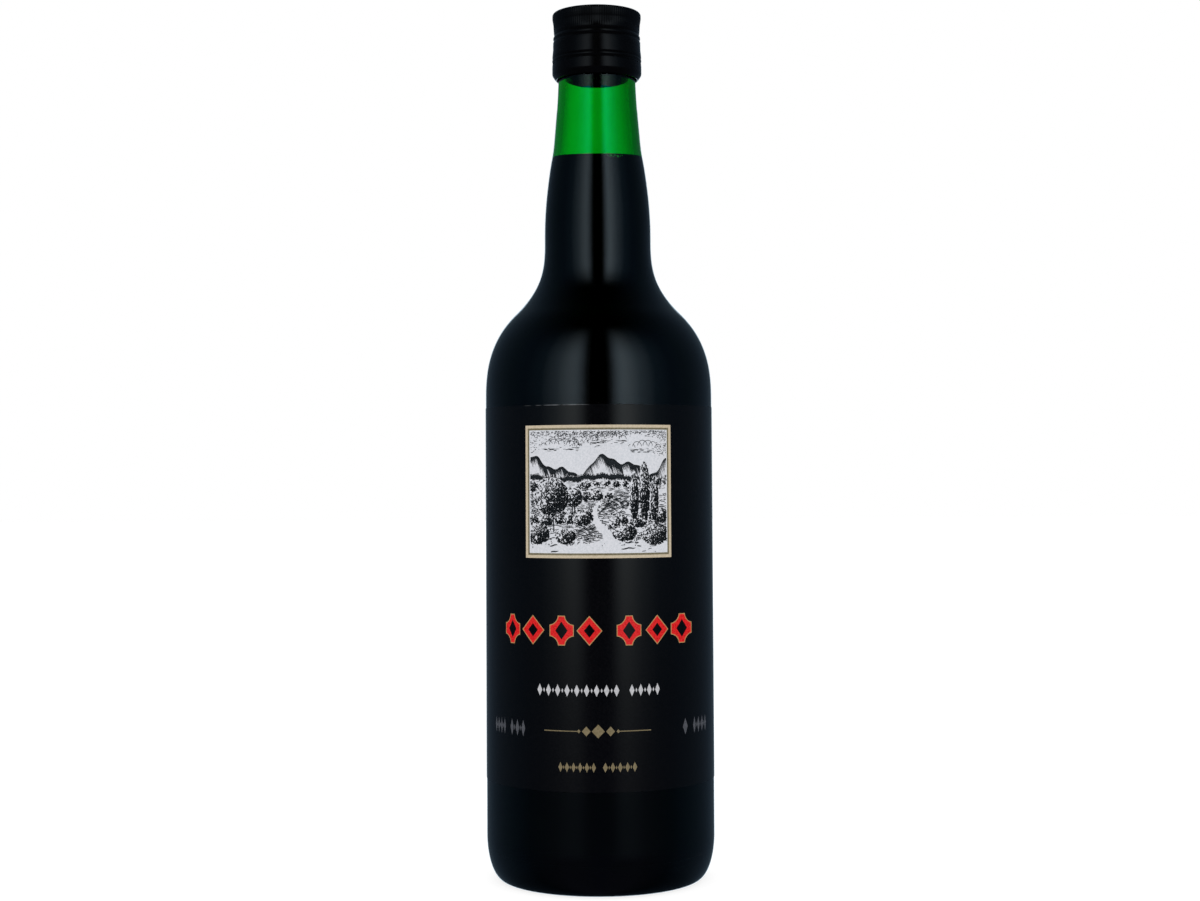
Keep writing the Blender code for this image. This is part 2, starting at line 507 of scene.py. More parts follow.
edit_where("VERT", in_knurl_groove)
shrink = 1 - knurl_depth / cap_outline[0][0]
bpy.ops.transform.resize(value=(shrink, shrink, 1), center_override=(0, 0, 0))
leave_edit()
edit_where("FACE", in_slit)
bpy.ops.mesh.extrude_region_shrink_fatten(TRANSFORM_OT_shrink_fatten={"value": -slit_depth})
bpy.ops.mesh.select_all(action="DESELECT")
leave_edit()
bpy.ops.object.shade_smooth_by_angle(angle=math.radians(cap_smooth_angle))


def bumps(tree, height, strength, distance):
    """Low relief from a pattern, as a normal."""
    node = tree.nodes.new("ShaderNodeBump")
    fill(node, {"Height": height, "Strength": strength, "Distance": distance})
    return node.outputs["Normal"]


black_lacquer, tree, shader = start_material("black_lacquer")
grain = noise(tree, 900.0, 4.0)
fill(shader, {
    "Base Color": mixed(tree, grain, (0.0004, 0.0004, 0.0006, 1.0), (0.0010, 0.0010, 0.0012, 1.0)),
    "Roughness": spread(tree, grain, 0.0, 1.0, 0.13, 0.22),
    "IOR": 1.5,
    "Specular IOR Level": 0.2,
    "Specular Tint": (1.0, 0.90, 0.86, 1.0),
    "Normal": bumps(tree, grain, 0.12, 0.02 * mm),
})
cap.data.materials.append(black_lacquer)
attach(cap, "root")
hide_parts("screw_cap")


# Label: a sheet of coated paper, printed black and varnished, wound once round the body and glued
# where its ends lap at the back. White paper shows at its cut edges.
label_low, label_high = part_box("label")
label_foot = label_low.z
label_head = label_high.z
paper_thickness = 0.1 * mm
glue_gap = 0.02 * mm
label_steps = 288
label_lap_steps = 6
lap_rise_steps = 2
label_rows = 21
glint_band_height = 0.28 * mm
glint_centre = (-14.5 * mm, -36 * mm, label_head)
glint_reach = (7 * mm, 12 * mm)


def wall_radius(z):
    """The glass's radius behind the label at a height."""
    share = (z - heel_height) / (body_top - heel_height)
    return body_radius + (body_top_radius - body_radius) * share


bpy.ops.mesh.primitive_grid_add(x_subdivisions=1, y_subdivisions=label_rows, size=1)
label = new_piece("label_paper_sheet")
edit_where("VERT", lambda x, y, z: x > 0)
bpy.ops.mesh.delete(type="VERT")
leave_edit()
for vertex in label.data.vertices:
    height = label_foot + (label_head - label_foot) * (vertex.co.y + 0.5)
    vertex.co = (0.0, wall_radius(height) + glue_gap, height)
edit("VERT")
bpy.ops.mesh.spin(
    steps=label_steps + label_lap_steps,
    angle=math.tau * (label_steps + label_lap_steps) / label_steps,
    center=(0, 0, 0),
    axis=(0, 0, 1),
)
leave_edit()
for i, vertex in enumerate(label.data.vertices):
    steps_to_lap = i // (label_rows + 1) - label_steps + lap_rise_steps
    rise = min(max(steps_to_lap, 0) / lap_rise_steps, 1) * (paper_thickness + glue_gap)
    vertex.co.xy *= 1 + rise / wall_radius(vertex.co.z)
edit("VERT")
bpy.ops.mesh.normals_make_consistent(inside=False)
leave_edit()
for _ in range(2):
    label.data.materials.append(None)
sheet = label.modifiers.new("Sheet", "SOLIDIFY")
sheet.thickness = paper_thickness
sheet.offset = 1.0
sheet.material_offset_rim = 1
apply_modifiers(label)
bpy.ops.object.shade_smooth_by_angle(angle=math.radians(40))

paper_fibres = bpy.data.node_groups.new("paper_fibres", "ShaderNodeTree")
for way, name, kind in (
    ("INPUT", "Smooth", "Float"), ("INPUT", "Rough", "Float"),
    ("OUTPUT", "Grain", "Float"), ("OUTPUT", "Roughness", "Float"), ("OUTPUT", "Normal", "Vector"),
):
    paper_fibres.interface.new_socket(name=name, in_out=way, socket_type="NodeSocket" + kind)
given = paper_fibres.nodes.new("NodeGroupInput").outputs
grain = spread(paper_fibres, noise(paper_fibres, 1500.0, 4.0, 0.65), 0.35, 0.65)
fill(paper_fibres.nodes.new("NodeGroupOutput"), {
    "Grain": grain,
    "Roughness": spread(paper_fibres, grain, 0.0, 1.0, given["Smooth"], given["Rough"]),
    "Normal": bumps(paper_fibres, grain, 0.06, 0.01 * mm),
})


def fibres_in(tree, smooth, rough):
    """The paper's fibres in a material, with a roughness between smooth and rough."""
    node = tree.nodes.new("ShaderNodeGroup")
    node.node_tree = paper_fibres
    fill(node, {"Smooth": smooth, "Rough": rough})
    return node.outputs


def calculated(tree, operation, *values, clamp=False):
    """What a Math node makes of numbers or other nodes' outputs."""
    node = tree.nodes.new("ShaderNodeMath")
    node.operation = operation
    node.use_clamp = clamp
    fill(node, dict(enumerate(values)))
    return node.outputs["Value"]


def vector_math(tree, operation, inputs):
    node = tree.nodes.new("ShaderNodeVectorMath")
    node.operation = operation
    fill(node, inputs)
    return node


# Painted highlight: a pale band in broken dashes along the label's top edge, left of the middle,
# stands in for the edge catching the light.
black_print, tree, shader = start_material("black_print")
fibres = fibres_in(tree, 0.11, 0.17)
printed = mixed(tree, fibres["Grain"], (0.0010, 0.0012, 0.0018, 1.0), (0.0017, 0.0019, 0.0027, 1.0))
glint_band_foot = label_head - glint_band_height
near_edge = spread(tree, height_on_piece(tree), glint_band_foot, label_head - 0.6 * glint_band_height)
glint_dashes = spread(tree, noise(tree, 170.0, 3.0), 0.41, 0.56)
from_glint_centre = vector_math(tree, "DISTANCE", {0: place_on_piece(tree), 1: glint_centre})
near_glint_centre = spread(tree, from_glint_centre.outputs["Value"], glint_reach[1], glint_reach[0])
# Painted highlight: pale near the top edge and near its centre, broken into dashes by a noise.
painted_edge_glint = calculated(tree, "MULTIPLY", near_edge, calculated(tree, "MULTIPLY", glint_dashes, near_glint_centre))
fill(shader, {
    "Base Color": mixed(tree, painted_edge_glint, printed, (0.16, 0.17, 0.18, 1.0)),
    "Roughness": fibres["Roughness"],
    "IOR": 1.46,
    "Specular Tint": (1.0, 0.86, 0.76, 1.0),
    "Normal": fibres["Normal"],
})
label.data.materials[0] = black_print

paper_core, tree, shader = start_material("paper_core")
fibres = fibres_in(tree, 0.75, 0.95)
pulp = mixed(tree, fibres["Grain"], (0.30, 0.29, 0.27, 1.0), (0.48, 0.47, 0.44, 1.0))
fill(shader, {"Base Color": pulp, "Roughness": fibres["Roughness"]})
label.data.materials[1] = paper_core
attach(label, "root")
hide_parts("label")


# Picture on the label: an engraved landscape of mountains, trees and a winding path, printed in
# black on a white field, inside a wide cream line and a thin olive one. Each ink is a thin layer
# of its own, which lies on the paper or on the ink under it.
print_radius = label_high.x
ink_thickness = 0.008 * mm
ink_pitch = 1.5 * ink_thickness
first_ink = 0.6
print_slice = 1.1 * mm
picture_low = 110.65 * mm
picture_high = 154.0 * mm
picture_centre = -0.3 * mm
picture_width = 52.0 * mm
cream_line = 0.95 * mm
olive_line = 0.65 * mm
ink_roughness = 0.24


def upright_bar(name, across, up, half_width, half_height):
    bpy.ops.mesh.primitive_plane_add(
        size=2, location=(across, 0, up), rotation=(math.pi / 2, 0, 0)
    )
    bpy.context.object.scale = (half_width, half_height, 1)
    return new_piece(name)


def lift_off(piece, name):
    """Parts the unselected faces of a print in edit mode, as a print of their own."""
    bpy.ops.mesh.select_all(action="INVERT")
    bpy.ops.mesh.separate(type="SELECTED")
    leave_edit()
    part = next(thing for thing in bpy.context.selected_objects if thing is not piece)
    named(part, name)
    select_only(piece)
    edit("FACE")
    return part


def wrap_print(piece, layer, ink):
    """Lays a flat print, drawn upright at y = 0, round the label; layer 0 lies on the paper."""
    select_only(piece)
    across = [vertex.co.x for vertex in piece.data.vertices]
    edit("FACE")
    for i in range(math.ceil(min(across) / print_slice), math.ceil(max(across) / print_slice)):
        bpy.ops.mesh.select_all(action="SELECT")
        bpy.ops.mesh.bisect(plane_co=(i * print_slice, 0, 0), plane_no=(1, 0, 0))
    leave_edit()
    wrap = piece.modifiers.new("Wrap", "SIMPLE_DEFORM")
    wrap.deform_method = "BEND"
    wrap.deform_axis = "Z"
    wrap.angle = (max(across) - min(across)) / print_radius
    apply_modifiers(piece)
    edit("FACE")
    bpy.ops.transform.translate(value=(0, -print_radius, 0))
    leave_edit()
    cling = piece.modifiers.new("Cling", "SHRINKWRAP")
    cling.target = label
    cling.wrap_mode = "ABOVE_SURFACE"
    cling.offset = (layer + first_ink) * ink_pitch
    film = piece.modifiers.new("Film", "SOLIDIFY")
    film.thickness = ink_thickness
    film.offset = 0.0
    apply_modifiers(piece)
    edit("FACE")
    bpy.ops.mesh.normals_make_consistent(inside=False)
    bpy.ops.mesh.select_all(action="DESELECT")
    leave_edit()
    piece.data.materials.clear()
    piece.data.materials.append(ink)
    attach(piece, "root")


def ink_material(name, pale, full, roughness=ink_roughness):
    """A printing ink that covers the paper's grain unevenly, between a pale and a full colour."""
    ink, tree, shader = start_material(name)
    fibres = fibres_in(tree, roughness, roughness + 0.08)
    fill(shader, {
        "Base Color": mixed(tree, fibres["Grain"], (*pale, 1.0), (*full, 1.0)),
        "Roughness": fibres["Roughness"],
        "IOR": 1.46,
        "Normal": fibres["Normal"],
    })
    return ink


picture_middle = (picture_low + picture_high) / 2
picture_field = upright_bar(
    "picture_white_field", picture_centre, picture_middle, picture_width / 2,
    (picture_high - picture_low) / 2,
)
edit("FACE")
bpy.ops.mesh.inset(thickness=cream_line)
picture_cream = lift_off(picture_field, "picture_cream_line")
bpy.ops.mesh.inset(thickness=olive_line)
picture_olive = lift_off(picture_field, "picture_olive_line")
leave_edit()
cream_ink = ink_material("cream_ink", (0.48, 0.40, 0.28), (0.57, 0.48, 0.35))
olive_ink = ink_material("olive_ink", (0.13, 0.11, 0.06), (0.19, 0.165, 0.10))
white_ink = ink_material("white_ink", (0.56, 0.58, 0.62), (0.665, 0.67, 0.71))
wrap_print(picture_cream, 0, cream_ink)
wrap_print(picture_olive, 0, olive_ink)
wrap_print(picture_field, 0, white_ink)

# The engraving is drawn in millimetres across and up from the middle of the field's foot. The
# lands go from far to near, and each hides what lies behind it, as do the trees and the path.
both_lines = 2 * (cream_line + olive_line)
half_field = (picture_width - both_lines) / mm / 2
field_height = (picture_high - picture_low - both_lines) / mm
field_margin = 0.3
draw = random.Random(11)
sky_dashes = 5200
slope_cuts = 330
cut_pitch = 0.15
plain_rows = 12
near_lands = ((2, 18, 1.025, 0.145), (3, 23, 1.03, 0.165), (4, 21, 1.033, 0.17))
tufts = 2800
path_dabs = 126
path_specks = 70
lands = (
    (28.6, 0.02, ((2.5, 4.1, 0.6), (1.3, 1.9, 1.2), (0.4, 0.7, 0.0))),
    (24.9, -0.01, ((0.5, 5.0, 1.0), (0.25, 0.9, 0.0))),
    (21.2, 0.13, ((1.3, 7.0, 2.0), (0.2, 1.5, 0.5))),
    (17.6, -0.16, ((1.3, 6.0, 0.6), (0.2, 1.7, 0.0))),
    (10.6, 0.07, ((1.4, 8.0, 3.4), (0.2, 1.3, 0.0))),
)
path_sway = 4.2


def land(index, u):
    """The height of a land's skyline at a place across the picture."""
    base, slope, waves = lands[index]
    swells = (height * math.sin(u / length + start) for height, length, start in waves)
    return base + slope * u + sum(swells)


def path_middle(v):
    return 1.0 + path_sway * math.sin(v / 3.1 + 0.4) * (1 - v / 26)


def path_half_width(v):
    return 0.12 + 3.1 * max(1 - v / 20, 0) ** 1.5


def on_path(u, v):
    """Whether a place lies on the path that winds up from the picture's foot."""
    return v < 20 and abs(u - path_middle(v)) < path_half_width(v)


plants = []
for index, count, size in ((2, 17, 1.0), (3, 15, 1.5), (4, 12, 2.3)):
    for i in range(count):
        u = -half_field + (i + draw.uniform(0.2, 0.8)) * 2 * half_field / count
        swell = size * draw.uniform(0.75, 1.25)
        v = land(index, u) + 0.25 * swell
        if abs(u - path_middle(v)) > path_half_width(v) + 0.6 * swell and draw.random() < 0.86:
            plants.append((u, v, 1.25 * swell, 0.95 * swell, "hedge"))
plants += [
    (12.2, 18.4, 1.5, 7.6, "cypress"), (15.8, 20.0, 1.8, 9.6, "cypress"),
    (19.4, 17.6, 1.5, 7.0, "cypress"), (-8.2, 18.2, 2.9, 3.1, "tree"),
    (-16.0, 18.4, 6.2, 6.0, "tree"),
    (8.8, 6.6, 4.0, 2.7, "hedge"), (-11.0, 5.4, 3.6, 2.4, "hedge"), (19.6, 6.2, 5.2, 3.6, "hedge"),
    (-21.0, 6.4, 4.4, 3.4, "hedge"),
]


def in_crown(u, v, crown, swell=1.0):
    return ((u - crown[0]) / crown[2]) ** 2 + ((v - crown[1]) / crown[3]) ** 2 < swell**2


def in_field(u, v):
    return abs(u) < half_field - field_margin and field_margin < v < field_height - field_margin


def open_ground(u, v, index):
    """Whether ink of a land shows at a place, with no nearer land, plant or path before it."""
    if not in_field(u, v) or any(v < land(nearer, u) for nearer in range(index + 1, len(lands))):
        return False
    if index >= 2 and on_path(u, v):
        return False
    return not any(in_crown(u, v, plant, 1.04) for plant in plants)


def visible_runs(points, shows):
    """Splits a stroke of across, up and half width where it is hidden."""
    runs, run = [], []
    for point in points:
        if shows(point[0], point[1]):
            run.append(point)
        else:
            runs.append(run)
            run = []
    return [run for run in runs + [run] if len(run) > 1]


def on_land(points, index):
    """The parts of a stroke that show on a land or, for the first land, in the sky over it."""
    return visible_runs(points, lambda u, v: open_ground(u, v, index))


def on_plant(points, nearness, swell):
    """The parts of a stroke on a plant that no nearer plant hides."""
    nearer = plants[nearness + 1:]

    def shows(u, v):
        return in_field(u, v) and not any(in_crown(u, v, crown, swell) for crown in nearer)

    return visible_runs(points, shows)


def stroke(u, v, angle, length, width, curl=0.0):
    """A short cut of the graver that swells in its middle."""
    points = []
    for i in range(4):
        along = length * (i / 3 - 0.5)
        turn_here = angle + curl * (i / 3 - 0.5)
        swell = width * (0.45, 1.0, 1.0, 0.35)[i]
        points.append((u + along * math.cos(turn_here), v + along * math.sin(turn_here), swell))
    return points


def leaves(nearness):
    """Dabs of foliage of one plant, thicker on its side away from the light."""
    u, v, half_width, half_height, kind = plants[nearness]
    slender = kind == "cypress"
    dabs = []
    for _ in range(int(half_width * half_height * 42)):
        turn_to, out = draw.uniform(0, math.tau), math.sqrt(draw.random())
        across, up = out * math.cos(turn_to), out * math.sin(turn_to)
        dark = 0.62 + 0.42 * across - 0.40 * up + (0.15 if slender else 0.0)
        if draw.random() < dark or out > 0.95:
            lean = math.pi / 2 + draw.gauss(0, 0.3) if slender else draw.uniform(0, math.pi)
            width = 0.08 + 0.10 * max(dark, 0) + draw.uniform(0, 0.04)
            length, curl = draw.uniform(0.45, 0.95), draw.uniform(-1, 1)
            dab = stroke(u + across * half_width, v + up * half_height, lean, length, width, curl)
            dabs += on_plant(dab, nearness, 1.03)
    return dabs


sky_ink, land_ink, tree_ink = [], [], []

# The sky: dashes under veils of cloud, then round clouds with their shade below.
for _ in range(sky_dashes):
    u, v = draw.uniform(-half_field, half_field), draw.uniform(27, field_height)
    veil = math.sin(u * 0.21 + 2.0) + math.sin(u * 0.13 - v * 0.42)
    veil += 0.22 * (v - 34) + 1.6 * max(v - 37.2, 0)
    if draw.random() < 0.3 * veil and v > land(0, u) + 1.5:
        lean, length = draw.gauss(0.1, 0.35), draw.uniform(0.3, 0.75)
        sky_ink += on_land(stroke(u, v, lean, length, draw.uniform(0.05, 0.11)), 0)
for cloud_u, cloud_v, puffs in ((-12.0, 34.6, 7), (4.5, 36.8, 6), (17.0, 34.0, 6)):
    for i in range(puffs):
        bulge = math.sin(math.pi * (i + 0.5) / puffs)
        puff_u, puff_v = cloud_u + (i - puffs / 2) * 1.9, cloud_v + bulge
        puff_r = 1.0 + 0.75 * bulge
        rim = []
        for step in range(9):
            a = step / 8 * math.pi
            rim.append((puff_u + puff_r * math.cos(a), puff_v + puff_r * math.sin(a), 0.09))
        sky_ink += visible_runs(rim, lambda u, v: open_ground(u, v, 0) and draw.random() < 0.93)
    for _ in range(26):
        dash = stroke(cloud_u + draw.uniform(-1, 0.85) * puffs, cloud_v - draw.uniform(0, 1.3), 0.0,
                      draw.uniform(0.6, 1.8), draw.uniform(0.06, 0.12))
        sky_ink += on_land(dash, 0)

# The skylines, the far mountains' slopes, the wood at their foot and the plain before it.
columns = [-half_field + 0.5 * i for i in range(int(half_field * 4) + 2)]
for index, weight in enumerate((0.09, 0.12, 0.15, 0.16, 0.15)):
    skyline = [(u, land(index, u), weight * draw.uniform(0.6, 1.3)) for u in columns]
    land_ink += visible_runs(skyline, lambda u, v: open_ground(u, v - 0.01, index))
for i in range(slope_cuts):
    u = -half_field + cut_pitch * i
    falls = land(0, u) - land(0, u + 0.4)
    length = draw.uniform(2.6, 6.2) if falls > 0.03 else draw.uniform(0.8, 3.2)
    cut = [
        (u + 0.34 * length * t / 5, land(0, u) - 0.1 - length * t / 5, 0.035 + 0.06 * (1 - t / 5))
        for t in range(6)
    ]
    land_ink += on_land(cut, 0)
for i in range(slope_cuts):
    u = -half_field + cut_pitch * i
    top = land(1, u) + draw.uniform(0.0, 0.9)
    foot = land(1, u) - draw.uniform(1.0, 1.7)
    cut = [(u, foot + (top - foot) * t / 3, (0.10, 0.12, 0.10, 0.05)[t]) for t in range(4)]
    land_ink += on_land(cut, 1)
for row in range(plain_rows):
    u = -half_field
    while u < half_field:
        length = draw.uniform(0.8, 3.6)
        level = land(1, 0) - 2.0 - 0.38 * row
        land_ink += on_land(stroke(u + length / 2, level, 0.0, length, draw.uniform(0.05, 0.11)), 1)
        u += length + draw.uniform(0.3, 1.8)

# The near lands: rows of cuts that follow the ground, tufts of grass, and the path's edges.
for index, rows, opening, dark in near_lands:
    down = 0.45
    for row in range(rows):
        u = -half_field - draw.uniform(0, 2)
        while u < half_field:
            length = draw.uniform(1.2, 5.5)
            light = 0.5 + 0.5 * math.sin(u / 3.7 + index * 1.7 + row * 0.33)
            foreground = max(land(index, u) - down - 3.2, 0) / 4 if index == 4 else 1.0
            cut = []
            for t in range(7):
                across = u + length * t / 6
                swell = dark * (0.6 + 0.65 * light) * (0.4, 0.9, 1.0, 1.1, 1.0, 0.8, 0.3)[t]
                level = land(index, across) - down + 0.1 * math.sin(across * 2.3 + row)
                cut.append((across, level, swell))
            if draw.random() < (0.65 + 0.35 * light) * min(foreground + 0.3, 1.0):
                land_ink += on_land(cut, index)
            u += length + draw.uniform(0.15, 0.5 + 0.7 * (1 - light))
        down += 0.39 * opening**row
for _ in range(tufts):
    index = draw.choice((2, 3, 3, 4, 4))
    u = draw.uniform(-half_field, half_field)
    v = land(index, u) - draw.uniform(0, 8.5)
    tuft = math.sin(u * 0.9 + index) + math.sin(v * 1.3 - u * 0.4)
    if draw.random() < (0.45 + 0.35 * tuft) * min(0.25 + v / 6, 1.0):
        dab = stroke(u, v, draw.gauss(1.5, 0.45), draw.uniform(0.35, 0.8), draw.uniform(0.08, 0.16))
        land_ink += on_land(dab, index)
for side in (-1, 1):
    for i in range(path_dabs):
        v = cut_pitch * i
        edge = path_middle(v) + side * (0.18 + path_half_width(v))
        dab = stroke(edge, v, draw.gauss(1.45, 0.4), draw.uniform(0.5, 1.2) * (1.15 - v / 24), 0.12)
        land_ink += on_land(dab, 1)
for _ in range(path_specks):
    v = draw.uniform(0.5, 15) * draw.random()
    across = path_middle(v) + draw.uniform(-0.8, 0.8) * path_half_width(v)
    speck = stroke(across, v, 0.1, draw.uniform(0.3, 0.7), 0.07)
    land_ink += visible_runs(speck, lambda u, v: on_path(u, v) and open_ground(u, v, 1))

for nearness, (u, v, half_width, half_height, kind) in enumerate(plants):
    if kind == "tree":
        foot = v - half_height - 0.85 * half_width
        for side in (-0.2, 0.2):
            bough = []
            for t in range(7):
                aside = side * half_width * (0.8 - 0.4 * t / 6)
                bough.append((u + aside, foot + t / 6 * half_height * 1.5, 0.2))
            tree_ink += on_plant(bough, nearness, 1.0)
    tree_ink += leaves(nearness)


def cut_in_ink(name, strokes):
    """Turns strokes into flat ribbons of their own widths, upright in the picture's place."""
    line = bpy.data.curves.new(name, "CURVE")
    line.dimensions = "3D"
    line.twist_mode = "Z_UP"
    line.extrude = 1.0
    for points in strokes:
        spline = line.splines.new("POLY")
        spline.points.add(len(points) - 1)
        for place, (u, v, width) in zip(spline.points, points):
            place.co = (u, v, 0.0, 1.0)
            place.radius = width
            place.tilt = math.pi / 2
    drawing = bpy.data.objects.new(name, line)
    bpy.context.collection.objects.link(drawing)
    select_only(drawing)
    bpy.ops.object.convert(target="MESH")
    drawing = bpy.context.object
    drawing.rotation_euler = (math.pi / 2, 0, 0)
    drawing.scale = (mm, mm, mm)
    drawing.location = (picture_centre, 0, picture_low + cream_line + olive_line)
    return new_piece(name)


engraving_ink = ink_material("engraving_ink", (0.014, 0.016, 0.019), (0.009, 0.011, 0.013), 0.22)
wrap_print(cut_in_ink("picture_sky_ink", sky_ink), 1, engraving_ink)
wrap_print(cut_in_ink("picture_land_ink", land_ink), 1, engraving_ink)
wrap_print(cut_in_ink("picture_tree_ink", tree_ink), 2, engraving_ink)


# Large ornaments on the label: red tablets with hollowed corners and red lozenges by turns, in
# groups of four and three. Each is pierced in its middle and edged with a fine gold outline, and
# they are printed in two inks.
motif_low = 82.3 * mm
motif_high = 92.0 * mm
motif_outline = 0.27 * mm
motif_places = (
    (-36.4, -29.1), (-28.0, -19.0), (-17.1, -8.6), (-7.7, 0.9),
    (5.6, 14.0), (15.5, 24.2), (25.3, 35.3),
)
motif_width = 8.4 * mm
tablet_corner = 3.0 * mm
tablet_hole = (4.3 * mm, 5.8 * mm)
lozenge_hole = (3.6 * mm, 4.4 * mm)
gold_roughness = 0.26


def upright_lozenge(name, across, up, half_width, half_height):
    bpy.ops.mesh.primitive_circle_add(
        vertices=4, radius=1, fill_type="NGON", location=(across, 0, up),
        rotation=(math.pi / 2, 0, 0),
    )
    bpy.context.object.scale = (half_width, half_height, 1)
    return new_piece(name)


def pierce_and_outline(motif, hole_width, hole_height):
    """Parts off a motif's outline and cuts a lozenge out of its middle."""
    edit("FACE")
    bpy.ops.mesh.inset(thickness=motif_outline)
    outline = lift_off(motif, motif.name + "_outline")
    leave_edit()
    hole = upright_lozenge("hole", 0, motif_middle, hole_width / 2, hole_height / 2)
    motif = joined([motif, hole], motif.name)
    edit("FACE")
    bpy.ops.mesh.delete(type="ONLY_FACE")
    bpy.ops.mesh.select_mode(type="EDGE")
    bpy.ops.mesh.select_all(action="SELECT")
    bpy.ops.mesh.bridge_edge_loops()
    leave_edit()
    return motif, outline


def moved_copy(piece, across, widen):
    """A copy of a flat print, moved across and widened about its middle."""
    copy = copy_of(piece)
    edit("VERT")
    bpy.ops.transform.resize(value=(widen, 1, 1), center_override=(0, 0, 0))
    bpy.ops.transform.translate(value=(across, 0, 0))
    leave_edit()
    return copy


motif_middle = (motif_low + motif_high) / 2
motif_half = (motif_width / 2, (motif_high - motif_low) / 2)
tablet = upright_bar("tablet", 0, motif_middle, *motif_half)
edit("VERT")
bpy.ops.mesh.bevel(affect="VERTICES", offset=tablet_corner, segments=5, profile=0.1)
leave_edit()
tablet, tablet_edge = pierce_and_outline(tablet, *tablet_hole)
lozenge = upright_lozenge("lozenge", 0, motif_middle, *motif_half)
lozenge, lozenge_edge = pierce_and_outline(lozenge, *lozenge_hole)
motifs_red, motifs_gold = [], []
for i, (start, end) in enumerate(motif_places):
    body, edge = (lozenge, lozenge_edge) if i % 2 else (tablet, tablet_edge)
    middle = (start + end) / 2 * mm
    widen = (end - start) * mm / motif_width
    motifs_red.append(moved_copy(body, middle, widen))
    motifs_gold.append(moved_copy(edge, middle, widen))
delete(tablet, tablet_edge, lozenge, lozenge_edge)
red_ink = ink_material("red_ink", (0.55, 0.0008, 0.0015), (0.68, 0.0015, 0.002))
gold_ink = ink_material("gold_ink", (0.15, 0.12, 0.06), (0.21, 0.165, 0.09), gold_roughness)
outline_ink = ink_material(
    "outline_gold_ink", (0.36, 0.19, 0.07), (0.46, 0.26, 0.10), gold_roughness
)
wrap_print(joined(motifs_red, "title_red_tablets"), 0, red_ink)
wrap_print(joined(motifs_gold, "title_gold_outlines"), 0, outline_ink)


# Small rows on the label: large and small lozenges by turns, a white row under the large
# ornaments, a gold one near the foot and short grey ones at each side. A gold rule with five
# lozenges parts them. Each row is printed in one ink.
white_row = ((-22.5, 7.1, 9), (9.1, 21.3, 4))
white_row_heights = (65.8 * mm, 69.7 * mm)
gold_row = ((-14.5, -1.1, 6), (0.4, 12.7, 5))
gold_row_heights = (41.3 * mm, 44.5 * mm)
grey_rows = ((-44.0, -36.4, 4), (-34.6, -26.5, 3), (29.8, 33.6, 1), (35.4, 45.3, 4))
grey_row_heights = (52.0 * mm, 57.4 * mm)
small_share = 0.38
rule_height = 54.6 * mm
rule_half_width = 0.15 * mm
rule_spans = ((-19.2, -7.6), (6.4, 17.3))
rule_lozenges = (
    (-7.1, 0.6, 0.65), (-4.6, 1.45, 1.6), (-0.65, 2.15, 2.25), (3.4, 1.45, 1.6), (5.95, 0.6, 0.65),
)


def print_row(name, spans, heights, small_half_width, share, ink):
    """Prints upright lozenges with a small one between each two, in spans of millimetres."""
    middle, half_height = (heights[0] + heights[1]) / 2, (heights[1] - heights[0]) / 2
    motifs = []
    for start, end, count in spans:
        pitch = (end - start) / count * mm
        for i in range(count):
            across = start * mm + pitch * (i + 0.5)
            motifs.append(upright_lozenge(name, across, middle, pitch * share, half_height))
            if i:
                between, small = across - pitch / 2, small_share * half_height
                motifs.append(upright_lozenge(name, between, middle, small_half_width, small))
    wrap_print(joined(motifs, name), 0, ink)


row_white_ink = ink_material("row_white_ink", (0.40, 0.40, 0.42), (0.54, 0.54, 0.56))
grey_ink = ink_material("grey_ink", (0.055, 0.058, 0.068), (0.075, 0.078, 0.09))
print_row("white_row", white_row, white_row_heights, 0.32 * mm, 0.28, row_white_ink)
print_row("gold_row", gold_row, gold_row_heights, 0.28 * mm, 0.33, gold_ink)
print_row("grey_rows", grey_rows, grey_row_heights, 0.3 * mm, 0.32, grey_ink)
rule = [upright_lozenge("rule", u * mm, rule_height, w * mm, h * mm) for u, w, h in rule_lozenges]
for start, end in rule_spans:
    middle, half_length = (start + end) / 2 * mm, (end - start) / 2 * mm
    rule.append(upright_bar("rule", middle, rule_height, half_length, rule_half_width))
wrap_print(joined(rule, "gold_rule"), 0, gold_ink)


# Stage: a pale floor under a white studio. Two tall soft lights stand left and right of the
# camera and one straight behind the bottle, which only show as reflections. The rest of the
# studio is dim where it is reflected.
brightest = 1.5
floor_size = 12
floor_drop = 0.05 * mm
bpy.ops.mesh.primitive_plane_add(size=floor_size, location=(0, 0, -floor_drop))
studio_floor = bpy.context.object
studio_floor.name = "studio_floor"
studio_floor.visible_glossy = False
floor_paint, tree, shader = start_material("floor_paint")
fill(shader, {
    "Base Color": (0.35, 0.35, 0.35, 1.0),
    "Roughness": 0.9,
    "Specular IOR Level": 0.0,
    "Emission Color": (1.0, 1.0, 1.0, 1.0),
    "Emission Strength": 0.79,
})
studio_floor.data.materials.append(floor_paint)

studio = bpy.data.worlds.new("studio")
bpy.context.scene.world = studio
studio.use_nodes = True
tree = studio.node_tree
tree.nodes.clear()


def product(value, other):
    return calculated(tree, "MULTIPLY", value, other)


def opposite(value):
    """What is left of 1."""
    return calculated(tree, "SUBTRACT", 1.0, value)


def fade(value, start, end):
    """A smooth step from 0 at start to 1 at end; angles in degrees."""
    step = spread(tree, value, math.radians(start), math.radians(end))
    step.node.interpolation_type = "SMOOTHSTEP"
    return step


def tones(value, low, high, stops):
    """Light over a value's range, as a share of the brightest."""
    shares = [(place, [channel / brightest for channel in colour]) for place, colour in stops]
    return colours_over(tree, value, low, high, shares)


def scaled(colour, factor):
    return vector_math(tree, "SCALE", {0: colour, "Scale": factor}).outputs["Vector"]


def added(colour, other):
    return vector_math(tree, "ADD", {0: colour, 1: other}).outputs["Vector"]


